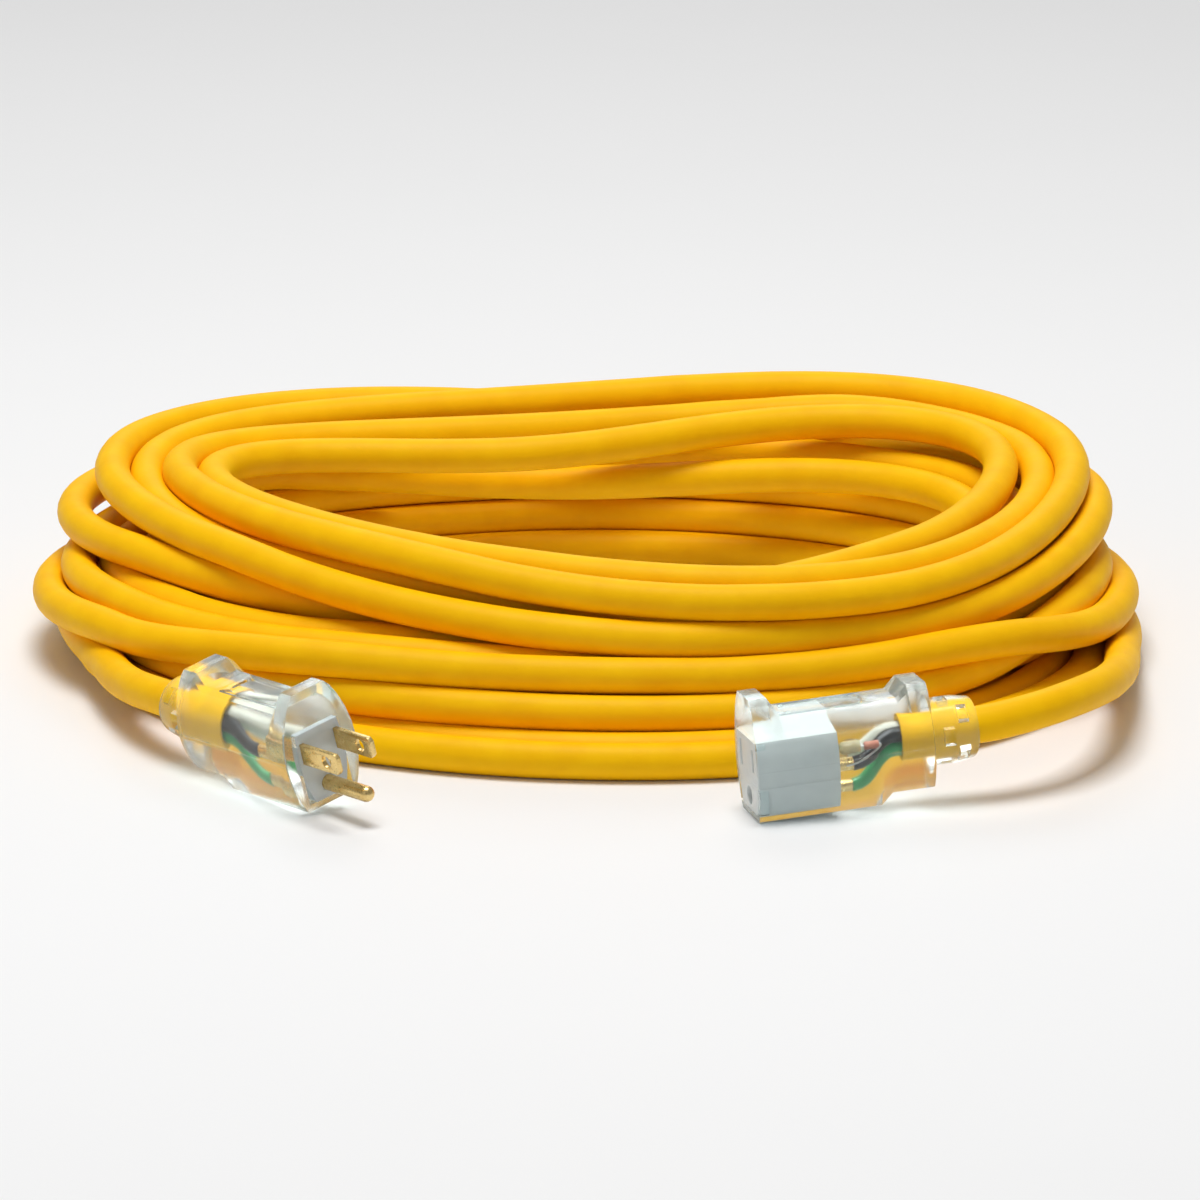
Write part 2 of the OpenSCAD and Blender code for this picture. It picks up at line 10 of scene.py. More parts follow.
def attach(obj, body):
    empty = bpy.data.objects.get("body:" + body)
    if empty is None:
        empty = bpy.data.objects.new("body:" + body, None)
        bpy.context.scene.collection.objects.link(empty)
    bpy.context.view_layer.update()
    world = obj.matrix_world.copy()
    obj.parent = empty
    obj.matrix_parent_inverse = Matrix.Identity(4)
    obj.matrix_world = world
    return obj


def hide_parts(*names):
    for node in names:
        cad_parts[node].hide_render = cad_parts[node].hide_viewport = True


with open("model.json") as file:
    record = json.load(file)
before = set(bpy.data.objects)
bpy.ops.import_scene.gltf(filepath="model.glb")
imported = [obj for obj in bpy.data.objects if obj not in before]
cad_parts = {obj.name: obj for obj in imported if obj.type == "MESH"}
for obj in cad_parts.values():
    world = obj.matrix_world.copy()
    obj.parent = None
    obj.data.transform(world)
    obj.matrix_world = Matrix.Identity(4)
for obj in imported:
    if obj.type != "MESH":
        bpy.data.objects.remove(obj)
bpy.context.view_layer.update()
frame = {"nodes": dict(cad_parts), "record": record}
MM = 0.001


# ---------- Camera ----------
# A long lens a little above the floor looks straight along +Y at the middle of the coil,
# with the plug and the connector lying in front of it.
AIM = Vector((0.0025, 0.023, 0.015))
CAMERA_DISTANCE = 2.5
CAMERA_ELEVATION = math.radians(15.5)

away = Vector((0, -math.cos(CAMERA_ELEVATION), math.sin(CAMERA_ELEVATION)))
bpy.ops.object.camera_add(
    location=AIM + away * CAMERA_DISTANCE,
    rotation=(math.pi / 2 - CAMERA_ELEVATION, 0, 0),
)
camera = bpy.context.object
camera.data.lens = 237.75
camera.data.sensor_width = 36
bpy.context.scene.camera = camera


# ---------- Cord ----------
# Fifteen metres of heavy three-conductor cord in a round yellow vinyl jacket, 11.2 mm thick.
# It is wound by hand into a loose oval coil, from the connector's end at the floor outwards
# and up, then back down to the plug's end, and every turn rests on the turns below it.
CORD_D = 11.2 * MM
CONNECTOR_ROUTE = [
    (0.1054, -0.145, 0.0222), (0.1122, -0.1433, 0.0227), (0.119, -0.141, 0.0232),
    (0.127, -0.1369, 0.024), (0.1353, -0.1304, 0.0246), (0.143, -0.1212, 0.0246),
    (0.1498, -0.109, 0.0236), (0.155, -0.0945, 0.0216), (0.1584, -0.0786, 0.019),
    (0.161, -0.062, 0.016), (0.1629, -0.045, 0.013), (0.164, -0.028, 0.0108),
]
PLUG_ROUTE = [
    (-0.1184, -0.1098, 0.0183), (-0.1228, -0.1044, 0.0181), (-0.127, -0.098, 0.0176),
    (-0.132, -0.09, 0.0168), (-0.137, -0.08, 0.0155), (-0.141, -0.069, 0.014),
    (-0.145, -0.057, 0.013), (-0.148, -0.045, 0.0125), (-0.151, -0.033, 0.012),
]

# The coil is wound as an egg-shaped oval. Each turn has a place at its right, back, left and
# front: how many lanes in from the outside it lies, and on which layer up from the floor.
LANE = 11.4 * MM
LAY_PLAN = [
    [(0, 0), (1, 0), (1, 0), (0, 0)],
    [(1, 0), (2, 0), (2, 0), (1, 0)],
    [(2, 0), (3, 0), (3, 0), (2, 0)],
    [(3, 0), (4, 0), (4, 0), (3.1, 0)],
    [(3.2, 1), (3.3, 1), (3, 1), (2.2, 1)],
    [(2.1, 1), (2.3, 1), (2, 1), (1.1, 1)],
    [(1.1, 1), (1.2, 1), (1, 1), (0, 1)],
    [(0, 2), (0.2, 2), (0, 2), (1, 2)],
    [(1, 2), (1.1, 2), (1, 2), (2, 2)],
    [(2, 2), (2.2, 2), (2, 2), (3, 2)],
    [(3, 2.9), (3.4, 2.7), (2.2, 3), (3.2, 3)],
    [(2.1, 3), (2, 3), (0, 3), (2.8, 3.2)],
    [(2.2, 4.1), (3.8, 4), (1.2, 4.2), (1, 4)],
    [(1.15, 3.6), (1.5, 4), (1.1, 4.1), (0, 3.9)],
    [(0, 4.2), (0.5, 4.5), (0.5, 4.3), (2.1, 3)],
    [(1.05, 3), (-0.2, 3.7), (0.3, 3.9), (0.1, 3)],
    [(0, 3.1), (0, 2.6), (0, 1), (0, 2.05)],
    [(0, 1.1), (0, 0), (0, 0.3)],
]
FIRST_TURN, LAST_TURN = 0.03, 17.47
OVAL_CENTRE_X = 2.5 * MM
OVAL_HALF_X, OVAL_HALF_Y, OVAL_CENTRE_Y = 168.5 * MM, 146.5 * MM, 23 * MM
# By layer, from the floor up: height, how far the oval draws in at its right, back, left and
# front, where its right and left tips lie, and how far its front swings to the right
LAYER_HEIGHT = np.array([5.6, 16.2, 26.6, 37.2, 49]) * MM
LAYER_DRAW_IN = np.array(
    [(0, 0, -5, 0), (3, 4, -5, 17), (11, 14, 2, 24), (11, 24, -2, 27), (18, 36, 10, 33)]
) * MM
RIGHT_TIP_Y = np.array([20, 30, 33, 62, 70]) * MM
LEFT_TIP_Y = np.array([27, 29, 33, 66, 72]) * MM
FRONT_SWING = np.array([12, 5, 2, 30, 38]) * MM
# Where single turns stray: turn, heading and width in degrees, millimetres inwards and up
STRAYS = [
    (10, 55, 30, -4, 3), (10, 90, 34, 16, -1), (11, 55, 30, -8, 0),
    (12, 140, 54, 28, -3), (12, 48, 36, -28, 3), (12, 215, 28, 8, 2),
    (13, 140, 45, 22, 0), (13, 50, 34, -20, -1), (13, 225, 30, 2, 0),
    (13, 200, 26, 0, 3), (13, 295, 30, 0, -4),
    (14, 140, 45, 12, 0), (14, 52, 30, -20, 3), (14, 212, 28, 0, -4),
    (15, 125, 35, 0, 6), (15, 180, 34, 0, 4), (15, 295, 30, 0, -5), (15, 0, 34, -2, 4),
    (16, 0, 34, -2, 4),
]


def smooth_through(stations, values, at):
    """A smooth run through the values that never swings past them."""
    x, y = np.asarray(stations, float), np.asarray(values, float)
    rise = np.diff(y) / np.diff(x)
    slope = np.zeros_like(y)
    slope[0] = rise[0]
    level = rise[:-1] * rise[1:] > 0
    slope[1:-1][level] = 2 / (1 / rise[:-1][level] + 1 / rise[1:][level])
    i = np.clip(np.searchsorted(x, at, side="right") - 1, 0, len(x) - 2)
    gap = (x[1:] - x[:-1])[i]
    s = (at - x[i]) / gap
    rest = 1 - s
    return (
        y[i] * (1 + 2 * s) * rest ** 2 + slope[i] * gap * s * rest ** 2
        + y[i + 1] * s * s * (3 - 2 * s) + slope[i + 1] * gap * s * s * (s - 1)
    )


def spaced(path, step):
    """The same path with its points one step apart."""
    along = np.concatenate([[0], np.cumsum(np.linalg.norm(np.diff(path, axis=0), axis=1))])
    stops = np.linspace(0, along[-1], int(round(along[-1] / step)) + 1)
    return np.stack([np.interp(stops, along, path[:, k]) for k in range(3)], axis=1)


def wound():
    """The turns as the lay plan puts them, round and round from the connector to the plug."""
    stations, draw_in, height = [], [], []
    layers = np.arange(len(LAYER_HEIGHT) + 1)
    heights = np.append(LAYER_HEIGHT, LAYER_HEIGHT[-1] + 10.5 * MM)
    insets = np.vstack([LAYER_DRAW_IN, LAYER_DRAW_IN[-1]])
    for turn, places in enumerate(LAY_PLAN):
        for quarter, (lane, layer) in enumerate(places):
            stations.append(turn + quarter / 4)
            draw_in.append(np.interp(layer, layers, insets[:, quarter]) + lane * LANE)
            height.append(np.interp(layer, layers, heights))
    turn = np.arange(FIRST_TURN, LAST_TURN, 1 / 90)
    inset = smooth_through(stations, draw_in, turn)
    z = smooth_through(stations, height, turn)
    for k, heading, width, inwards, up in STRAYS:
        share = np.exp(-(((turn - k) * 360 - heading) / width) ** 2)
        inset = inset + inwards * MM * share
        z = z + up * MM * share
    layer = np.clip((z - LAYER_HEIGHT[0]) / (10.8 * MM), 0, 4)
    c, s = np.cos(2 * np.pi * turn), np.sin(2 * np.pi * turn)
    levels = range(5)
    tip = (
        np.interp(layer, levels, RIGHT_TIP_Y) * (1 + c) / 2
        + np.interp(layer, levels, LEFT_TIP_Y) * (1 - c) / 2
    )
    swing = np.interp(layer, levels, FRONT_SWING) * np.maximum(0, -s) ** 2.5
    x = OVAL_CENTRE_X + (OVAL_HALF_X - inset) * c + swing
    front = OVAL_CENTRE_Y - OVAL_HALF_Y + inset
    back = OVAL_CENTRE_Y + OVAL_HALF_Y - inset
    y = np.where(s < 0, tip + s * (tip - front), tip + s * (back - tip))
    return np.stack([x, y, z], axis=1)


def settled(path):
    """Lets the turns sink, push each other a diameter apart and straighten their bends."""
    step, rounds, reach = 7 * MM, 240, CORD_D * 1.01
    near = reach * 1.35  # pairs this close are watched until the next search
    stiffness, sink, haste = 0.35, 0.04 * MM, 1.3
    apart_along = math.ceil(2.2 * CORD_D / step)  # closer along the cord, points are neighbours
    path = spaced(path, step)
    plan, count = path.copy(), len(path)
    held_first, held_last = 18, 12
    held = np.zeros(count, bool)
    held[:held_first] = True
    held[-held_last:] = True
    order = np.arange(count)
    from_ends = np.minimum(order - held_first, count - 1 - held_last - order)
    pull = (0.03 + 0.35 * np.exp(-np.maximum(from_ends, 0) / 8))[:, None]
    for n in range(rounds):
        if n % 10 == 0:
            first, second = [], []
            for a in range(0, count, 400):
                apart = ((path[a:a + 400, None, :] - path[None, :, :]) ** 2).sum(2)
                i, j = np.nonzero(apart < near ** 2)
                other = j - (i + a) > apart_along
                first.append(i[other] + a)
                second.append(j[other])
            first, second = np.concatenate(first), np.concatenate(second)
        path += (plan - path) * pull
        path[:, 2] -= sink
        for w in (1, 2, 4, 7) if n < rounds * 0.85 else (1, 2, 4):
            eased = path.copy()
            middle = slice(2 * w, -2 * w)
            eased[middle] = path[middle] * (1 - stiffness) + stiffness / 16 * (
                10 * path[middle] + 4 * (path[w:-3 * w] + path[3 * w:-w])
                - path[:-4 * w] - path[4 * w:]
            )
            path = eased
        for _ in range(3):
            gap = path[first] - path[second]
            distance = np.linalg.norm(gap, axis=1)
            touch = distance < reach
            i, j, d = first[touch], second[touch], distance[touch]
            push = (reach - d)[:, None] * gap[touch] / np.maximum(d, 1e-9)[:, None] / 2
            moved, contacts = np.zeros_like(path), np.zeros(count)
            np.add.at(moved, i, push)
            np.add.at(moved, j, -push)
            np.add.at(contacts, i, 1)
            np.add.at(contacts, j, 1)
            path += moved / np.maximum(contacts, 1)[:, None] * haste
            path[:, 2] = np.maximum(path[:, 2], CORD_D / 2)
        path[held] = plan[held]
    return path


def doubled(path):
    """The path with a point on its curve between each two."""
    ends = np.vstack([2 * path[0] - path[1], path, 2 * path[-1] - path[-2]])
    between = (9 * (ends[1:-2] + ends[2:-1]) - ends[:-3] - ends[3:]) / 16
    both = np.empty((2 * len(path) - 1, 3))
    both[0::2] = path
    both[1::2] = between
    return both


def finish_of(name, base, shade, roughness, grain, bump=0.1, space="Object"):
    """A plain moulded or drawn finish: its colour, gloss and surface vary with the grain."""
    made = bpy.data.materials.new(name)
    made.use_nodes = True
    nodes, links = made.node_tree.nodes, made.node_tree.links
    shader = nodes["Principled BSDF"]
    place = nodes.new("ShaderNodeTexCoord")
    stretch = nodes.new("ShaderNodeMapping")
    broad = nodes.new("ShaderNodeTexNoise")
    fine = nodes.new("ShaderNodeTexNoise")
    tint = nodes.new("ShaderNodeValToRGB")
    gloss = nodes.new("ShaderNodeMapRange")
    relief = nodes.new("ShaderNodeBump")
    links.new(place.outputs[space], stretch.inputs["Vector"])
    stretch.inputs["Scale"].default_value = grain
    for noise, scale, detail in ((broad, 1, 3), (fine, 7, 2)):
        noise.inputs["Scale"].default_value = scale
        noise.inputs["Detail"].default_value = detail
        links.new(stretch.outputs["Vector"], noise.inputs["Vector"])
    tint.color_ramp.elements[0].position = 0.3
    tint.color_ramp.elements[0].color = (*shade, 1)
    tint.color_ramp.elements[1].position = 0.7
    tint.color_ramp.elements[1].color = (*base, 1)
    links.new(broad.outputs["Fac"], tint.inputs["Fac"])
    links.new(tint.outputs["Color"], shader.inputs["Base Color"])
    gloss.inputs["To Min"].default_value = roughness * 0.85
    gloss.inputs["To Max"].default_value = roughness * 1.15
    links.new(fine.outputs["Fac"], gloss.inputs["Value"])
    links.new(gloss.outputs["Result"], shader.inputs["Roughness"])
    relief.inputs["Strength"].default_value = bump
    relief.inputs["Distance"].default_value = 0.2 * MM
    links.new(fine.outputs["Fac"], relief.inputs["Height"])
    links.new(relief.outputs["Normal"], shader.inputs["Normal"])
    return made


cord_path = doubled(settled(np.concatenate([CONNECTOR_ROUTE, wound(), PLUG_ROUTE[::-1]])))
line = bpy.data.curves.new("cord", "CURVE")
line.dimensions = "3D"
line.bevel_depth = CORD_D / 2
line.bevel_resolution = 9
line.use_fill_caps = True
run = line.splines.new("POLY")
run.points.add(len(cord_path) - 1)
run.points.foreach_set("co", np.c_[cord_path, np.ones(len(cord_path))].ravel())
cord = bpy.data.objects.new("cord", line)
bpy.context.scene.collection.objects.link(cord)

jacket_vinyl = finish_of(
    "yellow_vinyl", (1.0, 0.56, 0.001), (0.95, 0.5, 0.0), 0.5, (90, 90, 90), 0.05
)
jacket_vinyl.node_tree.nodes["Principled BSDF"].inputs["Specular IOR Level"].default_value = 0.1
line.materials.append(jacket_vinyl)
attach(cord, "root")
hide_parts("cord_coil", "cord_plug_lead", "cord_connector_lead")


# ---------- Jacket ends ----------
# Inside each moulded end the yellow jacket is cut square, and the three conductors go on to
# their crimps. Round the cut the jacket's wall and its soft edge can be seen.
def alone(piece):
    """Selects one piece and nothing else."""
    bpy.ops.object.select_all(action="DESELECT")
    piece.select_set(True)
    bpy.context.view_layer.objects.active = piece


def with_modifier(piece, kind, **settings):
    """Puts a modifier on a piece and applies it."""
    alone(piece)
    modifier = piece.modifiers.new(kind.lower(), kind)
    for key, value in settings.items():
        setattr(modifier, key, value)
    bpy.ops.object.modifier_apply(modifier=modifier.name)


def dressed(node, material, soft_edge=0.0, smooth_angle=40):
    """A finished copy of a CAD piece: merged, with softened edges and smooth rounds."""
    mesh = frame["nodes"][node].data.copy()
    mesh.materials.clear()
    mesh.materials.append(material)
    mesh.name = f"{node}_finished"
    piece = bpy.data.objects.new(f"{node}_finished", mesh)
    bpy.context.scene.collection.objects.link(piece)
    alone(piece)
    bpy.ops.object.mode_set(mode="EDIT")
    bpy.ops.mesh.select_all(action="SELECT")
    bpy.ops.mesh.remove_doubles(threshold=0.002 * MM)
    bpy.ops.mesh.dissolve_limited(angle_limit=math.radians(0.5))
    bpy.ops.object.mode_set(mode="OBJECT")
    if piece.data.has_custom_normals:
        bpy.ops.mesh.customdata_custom_splitnormals_clear()
    if soft_edge:
        with_modifier(
            piece, "BEVEL", width=soft_edge, segments=2, limit_method="ANGLE",
            angle_limit=math.radians(smooth_angle),
        )
    alone(piece)
    bpy.ops.object.shade_smooth_by_angle(angle=math.radians(smooth_angle))
    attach(piece, "root")
    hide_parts(node)
    return piece


jacket_ends = [
    dressed(f"{end}_jacket_end", jacket_vinyl) for end in ("plug", "connector")
]


# ---------- Conductors, copper and strings ----------
# Three stranded copper conductors in black, white and green insulation run from the jacket
# to their barrels, with twisted paper and jute strings laid between them in the jacket.
black = finish_of("black_insulation", (0.018, 0.018, 0.02), (0.01, 0.01, 0.012), 0.38, (300,) * 3)
white = finish_of("white_insulation", (0.85, 0.83, 0.72), (0.78, 0.76, 0.64), 0.4, (300,) * 3)
green = finish_of("green_insulation", (0.03, 0.42, 0.12), (0.02, 0.32, 0.09), 0.4, (300,) * 3)
copper = finish_of("bare_copper", (0.83, 0.42, 0.22), (0.6, 0.27, 0.13), 0.3, (900,) * 3, 0.5)
copper.node_tree.nodes["Principled BSDF"].inputs["Metallic"].default_value = 1
string = finish_of("twisted_string", (0.62, 0.53, 0.36), (0.42, 0.34, 0.2), 0.9, (1200,) * 3, 0.8)

for end in ("plug", "connector"):
    made = [
        dressed(f"{end}_line_wire", black),
        dressed(f"{end}_neutral_wire", white),
        dressed(f"{end}_ground_wire", green),
        dressed(f"{end}_copper_strands", copper),
        dressed(f"{end}_filler_strings", string),
    ]


# ---------- Blades, ground pin and contacts ----------
# The plug's two flat blades and its round ground pin, and the connector's three spring
# contacts, are stamped and drawn from brass, tumbled so that every edge is slightly soft.
brass = finish_of("satin_brass", (0.83, 0.62, 0.27), (0.74, 0.52, 0.2), 0.28, (260,) * 3, 0.08)
brass.node_tree.nodes["Principled BSDF"].inputs["Metallic"].default_value = 1

plug_metal = [
    dressed("plug_line_blade", brass, 0.14 * MM),
    dressed("plug_neutral_blade", brass, 0.14 * MM),
    dressed("plug_ground_pin", brass),
]
for contact in ("line", "neutral", "ground"):
    dressed(f"connector_{contact}_contact", brass)


# ---------- Blade holder and contact block ----------
# The plug's blades are held by a frosted block, and the connector's contacts sit in a white
# block of two halves. Both are nylon, moulded first and then moulded into the clear ends.
frosted = finish_of("frosted_nylon", (0.84, 0.88, 0.89), (0.78, 0.83, 0.84), 0.5, (220,) * 3, 0.15)
frosted.node_tree.nodes["Principled BSDF"].inputs["Transmission Weight"].default_value = 0.45
nylon = finish_of("white_nylon", (0.76, 0.8, 0.79), (0.71, 0.75, 0.74), 0.5, (220,) * 3, 0.12)
holder = dressed("plug_blade_holder", frosted, 0.6 * MM)
for half in ("upper", "lower"):
    dressed(f"connector_block_{half}", nylon, 0.4 * MM)


# ---------- Lamp ----------
# A small neon lamp glows when the connector is live. Its glass, its two electrodes and the
# resistor in line with it are soldered to tinned leads that run to the line and neutral.
tinned = finish_of("tinned_wire", (0.75, 0.75, 0.74), (0.6, 0.6, 0.6), 0.3, (800,) * 3, 0.1)
tinned.node_tree.nodes["Principled BSDF"].inputs["Metallic"].default_value = 1
ceramic = finish_of("resistor_ceramic", (0.75, 0.3, 0.2), (0.62, 0.2, 0.13), 0.5, (500,) * 3, 0.2)
lamp_glass = finish_of("lamp_glass", (1, 0.9, 0.6), (0.95, 0.82, 0.5), 0.08, (300,) * 3, 0.02)
glass_shader = lamp_glass.node_tree.nodes["Principled BSDF"]
glass_shader.inputs["Transmission Weight"].default_value = 0.6
dressed("connector_lamp_glass", lamp_glass)
dressed("connector_lamp_electrodes", tinned)
dressed("connector_lamp_wires", tinned)
dressed("connector_lamp_resistor", ceramic, 0.3 * MM)


# ---------- Clear moulded ends ----------
# Each end is one block of clear vinyl, moulded round its insides together with the collar
# that lets the cord flex. It has a raised rim, a scooped waist with a recessed label panel,
# a grip flange, a parting line along both sides and windows through its collar.
def frame_of_end(towards_minus_y, towards_plus_y, ahead_of_face):
    """The end's own frame: +X out of its face, +Y across the blades, +Z up through the rim."""
    mounts = {mount["name"]: mount for mount in frame["record"]["mounts"]}
    first = Vector(mounts[towards_minus_y]["pos_m"])
    second = Vector(mounts[towards_plus_y]["pos_m"])
    out = Vector(mounts[towards_plus_y]["axis"]).normalized()
    across = (second - first).normalized()
    up = out.cross(across).normalized()
    origin = (first + second) / 2 - out * ahead_of_face
    return Matrix.Translation(origin) @ Matrix((out, across, up)).transposed().to_4x4()


def box_in(place, node):
    """Lowest and highest corner of a CAD piece in an end's own frame."""
    corners = [place.inverted() @ v.co for v in frame["nodes"][node].data.vertices]
    return [
        Vector(tuple(pick(corner[k] for corner in corners) for k in range(3)))
        for pick in (min, max)
    ]


def pick_faces(piece, wanted):
    """Selects the faces of the piece being edited that are wanted, and no others."""
    bpy.ops.mesh.select_mode(type="FACE")
    bpy.ops.mesh.select_all(action="DESELECT")
    shape = bmesh.from_edit_mesh(piece.data)
    for face in shape.faces:
        face.select_set(bool(wanted(face)))
    bmesh.update_edit_mesh(piece.data)


def pick_points(piece, wanted):
    """Selects the points of the piece being edited that are wanted, and no others."""
    bpy.ops.mesh.select_mode(type="VERT")
    bpy.ops.mesh.select_all(action="DESELECT")
    shape = bmesh.from_edit_mesh(piece.data)
    for point in shape.verts:
        point.select_set(bool(wanted(point)))
    shape.select_flush_mode()
    bmesh.update_edit_mesh(piece.data)


BULGE_Z = -2 * MM
BASE_HALF_W = 9.2 * MM
WAIST_TOP, FLANGE_TOP = 13 * MM, 16.5 * MM
HEEL_BOTTOM = -14.7 * MM
RIM_BACK, WAIST_FRONT, WAIST_BACK, FLANGE_FRONT = 5.5 * MM, 9 * MM, 44.5 * MM, 48 * MM
HEEL_FRONT, HEEL_FULL = 37.5 * MM, 41 * MM
BELOW_SEAM = [-14 * MM, -9 * MM, -5 * MM]
ABOVE_SEAM = [3 * MM, 8 * MM, 13 * MM, 16.5 * MM]
RIM_TOP_HALF_W, BODY_EDGE = 6 * MM, 0.9 * MM
PANEL_MARGIN, PANEL_CORNER, PANEL_DEPTH = 1.8 * MM, 2.2 * MM, 0.8 * MM
COLLAR_R, COLLAR_END_R, COLLAR_Z = 10 * MM, 9 * MM, -0.5 * MM
COLLAR_ROOT, COLLAR_STRAIGHT, COLLAR_EDGE = 1 * MM, 9 * MM, 1 * MM
WINDOW = Vector((3.2 * MM, 5 * MM, 6 * MM))
WINDOW_FLOOR_R, WINDOW_FROM_END, WINDOW_ROW_STEP = 6.8 * MM, 4.6 * MM, 4.8 * MM
POCKET_L, POCKET_X, INSERT_LAP = 4 * MM, -1 * MM, 0.6 * MM
SEAM_HALF, SEAM_PROUD = 0.2 * MM, 0.14 * MM
FACE_BACK = 0.05 * MM
BLADES_AHEAD, SLOTS_BEHIND = 8 * MM, 1.5 * MM
NEAR = 0.01 * MM


def moulded_body(name, low, high):
    """The body: its face's outline drawn out backwards, taller or lower at each station."""
    drop = BULGE_Z - low.z
    side_in = high.y - BASE_HALF_W
    side_r = (drop ** 2 + side_in ** 2) / (2 * side_in)
    bpy.ops.object.select_all(action="DESELECT")
    bpy.ops.mesh.primitive_plane_add(
        size=1, location=(-FACE_BACK, 0, (low.z + high.z) / 2), rotation=(0, math.pi / 2, 0)
    )
    body = bpy.context.object
    body.name = name
    body.scale = (high.z - low.z, 2 * high.y, 1)
    bpy.ops.object.transform_apply(location=True, rotation=True, scale=True)
    bpy.ops.object.mode_set(mode="EDIT")
    seam = [BULGE_Z - SEAM_HALF, BULGE_Z + SEAM_HALF]
    levels = [*BELOW_SEAM, *seam, *ABOVE_SEAM]
    for z in levels:
        bpy.ops.mesh.select_all(action="SELECT")
        bpy.ops.mesh.bisect(plane_co=(0, 0, z), plane_no=(0, 0, 1))
    for z in [low.z, *levels, high.z]:
        half = high.y - side_r + math.sqrt(side_r ** 2 - (z - BULGE_Z) ** 2)
        half = min(half, RIM_TOP_HALF_W + high.z - z)
        pick_points(body, lambda v: abs(v.co.z - z) < NEAR)
        bpy.ops.transform.resize(value=(1, half / high.y, 1), center_override=(0, 0, 0))
    stations = [
        (RIM_BACK, high.z, low.z), (WAIST_FRONT, WAIST_TOP, low.z),
        (HEEL_FRONT, WAIST_TOP, low.z), (HEEL_FULL, WAIST_TOP, HEEL_BOTTOM),
        (WAIST_BACK, WAIST_TOP, HEEL_BOTTOM), (FLANGE_FRONT, FLANGE_TOP, HEEL_BOTTOM),
        (-low.x, FLANGE_TOP, HEEL_BOTTOM),
    ]
    was_x, was_top, was_bottom = -FACE_BACK, high.z, low.z
    bpy.ops.mesh.select_all(action="SELECT")
    for x, top, bottom in stations:
        bpy.ops.mesh.extrude_region_move(TRANSFORM_OT_translate={"value": (-x - was_x, 0, 0)})
        rise = (top - seam[1]) / (was_top - seam[1])
        fall = (bottom - seam[0]) / (was_bottom - seam[0])
        pick_points(body, lambda v: abs(v.co.x + x) < NEAR and v.co.z > seam[1])
        bpy.ops.transform.resize(value=(1, 1, rise), center_override=(0, 0, seam[1]))
        pick_points(body, lambda v: abs(v.co.x + x) < NEAR and v.co.z < seam[0])
        bpy.ops.transform.resize(value=(1, 1, fall), center_override=(0, 0, seam[0]))
        pick_faces(body, lambda f: abs(f.calc_center_median().x + x) < NEAR)
        was_x, was_top, was_bottom = -x, top, bottom
    bpy.ops.mesh.select_all(action="SELECT")
    bpy.ops.mesh.normals_make_consistent(inside=False)
    return body


def label_panel(body):
    """Sinks the label panel, with rounded corners, into the waist's top."""
    middle = -(WAIST_FRONT + HEEL_FRONT) / 2
    pick_faces(
        body,
        lambda f: f.normal.z > 0.95 and abs(f.calc_center_median().x - middle) < 1 * MM
        and f.calc_center_median().z > WAIST_TOP - 0.1 * MM,
    )
    bpy.ops.mesh.inset(thickness=PANEL_MARGIN, depth=0)
    bpy.ops.mesh.bevel(offset=PANEL_CORNER, segments=4, affect="VERTICES")
    pick_faces(
        body,
        lambda f: f.normal.z > 0.95 and len(f.verts) > 8
        and abs(f.calc_center_median().x - middle) < 1 * MM,
    )
    bpy.ops.mesh.extrude_region_move(
        TRANSFORM_OT_translate={"value": (0, 0, -PANEL_DEPTH)}
    )


def seam_ridge(body):
    """Raises the fine ridge that the two halves of the mould leave along both sides."""
    bpy.ops.object.mode_set(mode="EDIT")
    pick_faces(
        body,
        lambda f: abs(f.normal.y) > 0.8
        and abs(f.calc_center_median().z - BULGE_Z) < SEAM_HALF * 0.9,
    )
    bpy.ops.mesh.extrude_region_shrink_fatten(
        TRANSFORM_OT_shrink_fatten={"value": SEAM_PROUD}
    )
    bpy.ops.object.mode_set(mode="OBJECT")


def collar(back, end):
    """The round collar behind the body, drawn in a little towards its soft end."""
    bpy.ops.object.select_all(action="DESELECT")
    root = back + COLLAR_ROOT
    bpy.ops.mesh.primitive_cylinder_add(
        vertices=64, radius=COLLAR_R, depth=root - end,
        location=((root + end) / 2, 0, COLLAR_Z), rotation=(0, math.pi / 2, 0),
    )
    ring = bpy.context.object
    bpy.ops.object.transform_apply(location=True, rotation=True, scale=True)
    bpy.ops.object.mode_set(mode="EDIT")
    bpy.ops.mesh.select_all(action="SELECT")
    bpy.ops.mesh.bisect(plane_co=(back - COLLAR_STRAIGHT, 0, 0), plane_no=(1, 0, 0))
    pick_points(ring, lambda v: v.co.x < end + NEAR)
    bpy.ops.transform.resize(
        value=(1, COLLAR_END_R / COLLAR_R, COLLAR_END_R / COLLAR_R),
        center_override=(end, 0, COLLAR_Z),
    )
    pick_faces(ring, lambda f: f.normal.x < -0.95)
    bpy.ops.mesh.bevel(offset=COLLAR_EDGE, segments=3, affect="EDGES")
    bpy.ops.object.mode_set(mode="OBJECT")
    return ring


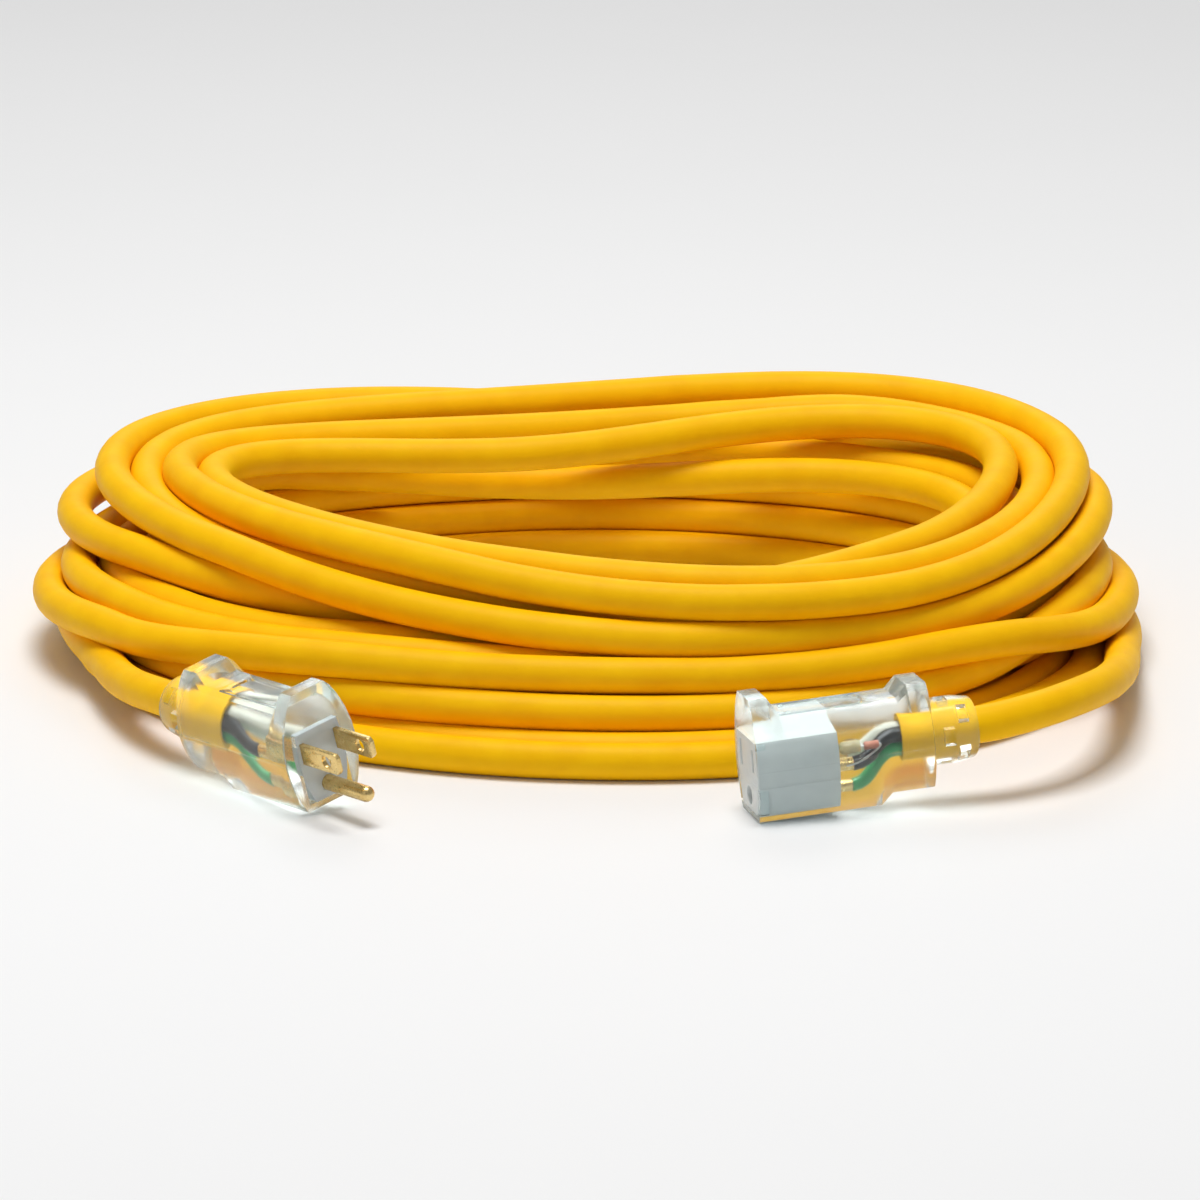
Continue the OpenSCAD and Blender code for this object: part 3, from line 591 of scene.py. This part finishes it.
def collar_windows(end):
    """Eight boxes that cut the two staggered rows of windows."""
    bpy.ops.object.select_all(action="DESELECT")
    boxes = []
    for row in (0, 1):
        for k in range(4):
            x = end + WINDOW_FROM_END + row * WINDOW_ROW_STEP
            turn = Matrix.Rotation(math.radians(45 + 45 * row + 90 * k), 4, "X")
            bpy.ops.mesh.primitive_cube_add(size=1)
            box = bpy.context.object
            box.matrix_world = (
                Matrix.Translation((x, 0, COLLAR_Z)) @ turn
                @ Matrix.Translation((0, 0, WINDOW_FLOOR_R + WINDOW.z / 2))
                @ Matrix.Diagonal((*WINDOW, 1))
            )
            bpy.ops.object.transform_apply(location=True, rotation=True, scale=True)
            boxes.append(box)
    for box in boxes:
        box.select_set(True)
    bpy.context.view_layer.objects.active = boxes[0]
    bpy.ops.object.join()
    return bpy.context.object


def insert_pocket(low, high):
    """The box that opens the face over the insert, a little smaller than the insert."""
    bpy.ops.object.select_all(action="DESELECT")
    bpy.ops.mesh.primitive_cube_add(size=1)
    box = bpy.context.object
    box.scale = (POCKET_L, high.y - low.y - INSERT_LAP, high.z - low.z - INSERT_LAP)
    box.location = (POCKET_X, 0, (high.z + low.z) / 2)
    bpy.ops.object.transform_apply(location=True, rotation=True, scale=True)
    return box


def combined(piece, other, operation):
    """Joins the other shape to the piece or cuts it out of it, and removes the other."""
    with_modifier(piece, "BOOLEAN", operation=operation, object=other, solver="EXACT")
    bpy.data.objects.remove(other)


def clear_end(end, place, insert):
    """One finished clear end, laid down in its place."""
    low, high = box_in(place, f"{end}_housing")
    insert_low, insert_high = insert
    collar_end = box_in(place, f"{end}_strain_relief")[0].x
    body = moulded_body(f"{end}_clear_end", low, high)
    label_panel(body)
    bpy.ops.object.mode_set(mode="OBJECT")
    with_modifier(
        body, "BEVEL", width=BODY_EDGE, segments=3, limit_method="ANGLE",
        angle_limit=math.radians(14),
    )
    seam_ridge(body)
    combined(body, collar(low.x, collar_end), "UNION")
    combined(body, collar_windows(collar_end), "DIFFERENCE")
    combined(body, insert_pocket(insert_low, insert_high), "DIFFERENCE")
    alone(body)
    bpy.ops.object.mode_set(mode="EDIT")
    bpy.ops.mesh.select_all(action="SELECT")
    bpy.ops.mesh.remove_doubles(threshold=0.005 * MM)
    bpy.ops.mesh.normals_make_consistent(inside=False)
    bpy.ops.object.mode_set(mode="OBJECT")
    bpy.ops.object.shade_smooth_by_angle(angle=math.radians(32))
    body.matrix_world = place
    bpy.ops.object.transform_apply(location=True, rotation=True, scale=True)
    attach(body, "root")
    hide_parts(f"{end}_housing", f"{end}_strain_relief")
    return body


clear_vinyl = finish_of(
    "clear_vinyl", (0.9, 0.98, 0.98), (0.87, 0.96, 0.97), 0.2, (160,) * 3, 0.08
)
clear_nodes, clear_links = clear_vinyl.node_tree.nodes, clear_vinyl.node_tree.links
clear_shader = clear_nodes["Principled BSDF"]
clear_shader.inputs["Transmission Weight"].default_value = 0.96
clear_shader.inputs["IOR"].default_value = 1.5
ray = clear_nodes.new("ShaderNodeLightPath")
open_to_lamps = clear_nodes.new("ShaderNodeBsdfTransparent")
open_to_lamps.inputs["Color"].default_value = (0.93, 0.97, 0.97, 1)
either = clear_nodes.new("ShaderNodeMixShader")
clear_links.new(ray.outputs["Is Shadow Ray"], either.inputs["Fac"])
clear_links.new(clear_shader.outputs["BSDF"], either.inputs[1])
clear_links.new(open_to_lamps.outputs["BSDF"], either.inputs[2])
clear_links.new(either.outputs["Shader"], clear_nodes["Material Output"].inputs["Surface"])

plug_place = frame_of_end("line_blade", "neutral_blade", BLADES_AHEAD)
connector_place = frame_of_end("neutral_slot", "line_slot", -SLOTS_BEHIND)
plug_end = clear_end("plug", plug_place, box_in(plug_place, "plug_blade_holder"))
connector_insert = [
    box_in(connector_place, "connector_block_lower")[0],
    box_in(connector_place, "connector_block_upper")[1],
]
connector_end = clear_end("connector", connector_place, connector_insert)
for made in (plug_end, connector_end):
    made.data.materials.append(clear_vinyl)


# ---------- Floor and light ----------
# A pale matt floor, one broad soft light overhead, a weak one from the front left and a
# third far behind that keeps the floor pale up to the horizon.
floor_paint = finish_of("floor_paint", (0.86, 0.86, 0.86), (0.85, 0.85, 0.85), 0.7, (3, 3, 3), 0.0)
bpy.ops.object.select_all(action="DESELECT")
bpy.ops.mesh.primitive_plane_add(size=12)
floor = bpy.context.object
floor.name = "floor"
floor.data.materials.append(floor_paint)

for spot, aim, size, watts in (
    ((-0.1, -0.1, 1.9), (0, 0.1, 0), 0.9, 29),
    ((-1.1, -1.7, 0.9), (0, 0, 0.03), 0.9, 1.2),
    ((0, 5, 3.2), (0, 4.6, 0), 3, 60),
):
    bpy.ops.object.light_add(type="AREA", location=spot)
    lamp = bpy.context.object
    lamp.rotation_euler = (Vector(aim) - Vector(spot)).to_track_quat("-Z", "Y").to_euler()
    lamp.data.size = size
    lamp.data.energy = watts

world = bpy.data.worlds.new("studio")
world.use_nodes = True
world.node_tree.nodes["Background"].inputs["Color"].default_value = (1, 1, 1, 1)
world.node_tree.nodes["Background"].inputs["Strength"].default_value = 0.3
bpy.context.scene.world = world
bpy.context.scene.view_settings.view_transform = "Standard"
